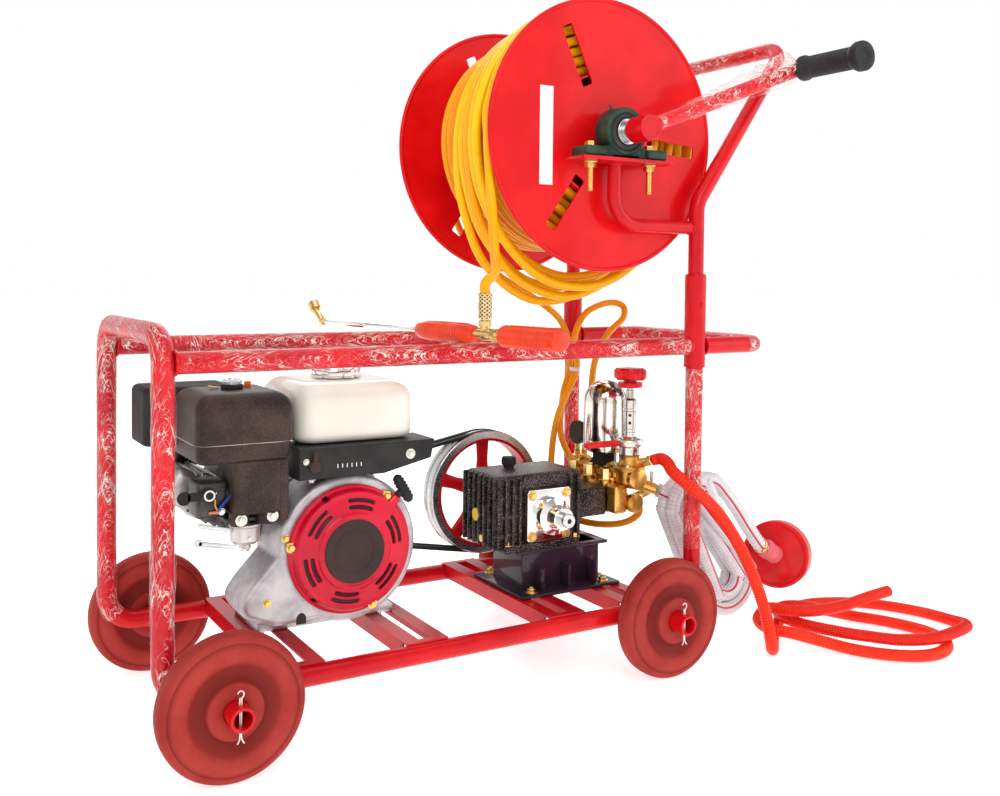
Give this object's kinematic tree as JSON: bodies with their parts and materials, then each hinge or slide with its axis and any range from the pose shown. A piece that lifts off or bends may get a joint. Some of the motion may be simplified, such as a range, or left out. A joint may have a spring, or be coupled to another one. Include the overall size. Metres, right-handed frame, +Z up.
{
  "type": "wheeled firefighting spray unit",
  "caption": "Tube trolley on wheels with a petrol engine, belt-driven plunger pump, hand-cranked hose reel, spray gun, suction and return hoses.",
  "frame": {"origin": "on the floor under the middle of the bounding box of the trolley without its loose hoses and gun", "axes": "+X towards the push handle, -X towards the engine, -Y towards the crank side, +Z up"},
  "size_m": [1.5062, 0.7062, 1.141],
  "materials": {
    "frame_red": "gloss enamel",
    "bearer_red": "gloss enamel",
    "reel_red": "gloss enamel",
    "wheel_maroon": "matt moulded",
    "steel": "satin",
    "cast_green": "painted casting",
    "hose_yellow": "smooth",
    "gun_brass": "polished",
    "grip_orange": "gloss",
    "grip_black": "matt",
    "alloy": "die cast",
    "shroud_silver": "metallic paint",
    "starter_red": "gloss",
    "black_plastic": "fine grain",
    "tank_cream": "gloss",
    "chrome": "polished",
    "foam": "oiled foam",
    "muffler_black": "heat paint",
    "pump_iron": "dark metallic paint",
    "manifold_brass": "cast and machined",
    "knob_red": "gloss",
    "belt_rubber": "matt",
    "return_orange": "corrugated",
    "clear_pvc": "translucent, ribbed"
  },
  "bodies": {
    "trolley": {"front_hoop": "frame_red", "side_frame_left": "frame_red", "side_frame_right": "frame_red", "rear_loop": "frame_red", "push_handle": "frame_red", "engine_bearer_front": "bearer_red", "engine_bearer_rear": "bearer_red", "pump_bearer_front": "bearer_red", "pump_bearer_rear": "bearer_red", "reel_bracket_left": "frame_red", "reel_bracket_right": "frame_red", "pillow_block_left": "cast_green", "pillow_block_right": "cast_green", "hose_tail": "hose_yellow", "gun_barrel": "gun_brass", "engine_crankcase": "alloy", "cylinder_head": "alloy", "fan_shroud": "shroud_silver", "recoil_cover": "starter_red", "air_cleaner_base": "black_plastic", "air_filter_element": "foam", "carburettor": "alloy", "fuel_tank": "tank_cream", "control_panel": "black_plastic", "muffler": "muffler_black", "pump_crankcase": "pump_iron", "pump_bearing_cover": "chrome", "drive_belt": "belt_rubber", "pump_bracket": "black_plastic", "plunger_manifold": "manifold_brass", "air_chamber": "chrome", "pressure_gauge": "black_plastic", "feed_hoses": "hose_yellow", "return_hose": "return_orange", "suction_hank": "clear_pvc", "suction_hose": "clear_pvc", "suction_strainer": "knob_red"},
    "wheel_front_left": {"wheel_front_left": "wheel_maroon"},
    "wheel_rear_left": {"wheel_rear_left": "wheel_maroon"},
    "wheel_front_right": {"wheel_front_right": "wheel_maroon"},
    "wheel_rear_right": {"wheel_rear_right": "wheel_maroon"},
    "reel": {"reel_disc_left": "reel_red", "reel_disc_right": "reel_red", "reel_drum": "reel_red", "reel_shaft": "steel", "crank_arm": "frame_red", "hose_winding": "hose_yellow"},
    "crank_grip": {"crank_grip": "grip_black"},
    "engine_rotor": {"engine_crankshaft": "steel"},
    "pump_rotor": {"pump_crankshaft": "steel", "pump_pulley": "frame_red"},
    "choke_lever": {"choke_lever": "steel"},
    "fuel_valve_lever": {"fuel_valve_lever": "steel"},
    "recoil_grip": {"recoil_grip": "grip_black"},
    "fuel_cap": {"fuel_cap": "chrome"},
    "air_cleaner_cover": {"air_cleaner_cover": "black_plastic"},
    "regulator_knob": {"regulator_knob": "knob_red"},
    "release_lever": {"release_lever": "knob_red"},
    "outlet_cock_lever": {"outlet_cock_lever": "chrome"},
    "gun_handle": {"gun_handle": "grip_orange"}
  },
  "joints": [
    {"name": "wheel_front_left_spin", "type": "hinge", "parent": "trolley", "child": "wheel_front_left", "pos_m": [-0.4787, -0.1677, 0.1], "axis": [0, 1, 0], "continuous": true},
    {"name": "wheel_rear_left_spin", "type": "hinge", "parent": "trolley", "child": "wheel_rear_left", "pos_m": [0.2698, -0.1677, 0.1], "axis": [0, 1, 0], "continuous": true},
    {"name": "wheel_front_right_spin", "type": "hinge", "parent": "trolley", "child": "wheel_front_right", "pos_m": [-0.4787, 0.2943, 0.1], "axis": [0, 1, 0], "continuous": true},
    {"name": "wheel_rear_right_spin", "type": "hinge", "parent": "trolley", "child": "wheel_rear_right", "pos_m": [0.2698, 0.2943, 0.1], "axis": [0, 1, 0], "continuous": true},
    {"name": "reel_spin", "type": "hinge", "parent": "trolley", "child": "reel", "pos_m": [0.1763, 0.0633, 0.912], "axis": [0, 1, 0], "continuous": true},
    {"name": "crank_grip_spin", "type": "hinge", "parent": "reel", "child": "crank_grip", "pos_m": [0.5189, -0.2767, 1.0435], "axis": [0, 1, 0], "continuous": true},
    {"name": "engine_crank_spin", "type": "hinge", "parent": "trolley", "child": "engine_rotor", "pos_m": [-0.2642, 0.0633, 0.2593], "axis": [0, 1, 0], "continuous": true},
    {"name": "pump_crank_spin", "type": "hinge", "parent": "trolley", "child": "pump_rotor", "pos_m": [0.1273, 0.0633, 0.2603], "axis": [0, 1, 0], "continuous": true},
    {"name": "choke_turn", "type": "hinge", "parent": "trolley", "child": "choke_lever", "pos_m": [-0.476, -0.049, 0.3593], "axis": [0, 1, 0], "range_deg": [-70, 0]},
    {"name": "fuel_valve_turn", "type": "hinge", "parent": "trolley", "child": "fuel_valve_lever", "pos_m": [-0.3282, -0.073, 0.3916], "axis": [0, 1, 0], "range_deg": [0, 90]},
    {"name": "recoil_pull", "type": "slide", "parent": "trolley", "child": "recoil_grip", "axis": [0.55, -0.8352, 0], "range_m": [0, 0.45], "stiffness_N_per_m": 20},
    {"name": "fuel_cap_lift", "type": "slide", "parent": "trolley", "child": "fuel_cap", "axis": [0, 0, 1], "range_m": [0, 0.05]},
    {"name": "air_cover_lift", "type": "slide", "parent": "trolley", "child": "air_cleaner_cover", "axis": [0, 0, 1], "range_m": [0, 0.06]},
    {"name": "regulator_turn", "type": "hinge", "parent": "trolley", "child": "regulator_knob", "pos_m": [0.3113, -0.0017, 0.473], "axis": [0, 0, 1], "range_deg": [0, 720]},
    {"name": "release_turn", "type": "hinge", "parent": "trolley", "child": "release_lever", "pos_m": [0.3113, -0.0017, 0.366], "axis": [0, 0, 1], "range_deg": [0, 60]},
    {"name": "outlet_cock_turn", "type": "hinge", "parent": "trolley", "child": "outlet_cock_lever", "pos_m": [0.3513, -0.0107, 0.2803], "axis": [0.8613, -0.3014, 0.4091], "range_deg": [-90, 0]},
    {"name": "gun_handle_twist", "type": "hinge", "parent": "trolley", "child": "gun_handle", "pos_m": [-0.0927, -0.2166, 0.5868], "axis": [-0.1495, 0.9888, 0], "range_deg": [-90, 90]}
  ],
  "couplings": [
    {"joint": "pump_crank_spin", "follows": "engine_crank_spin", "ratio": 0.33333}
  ]
}
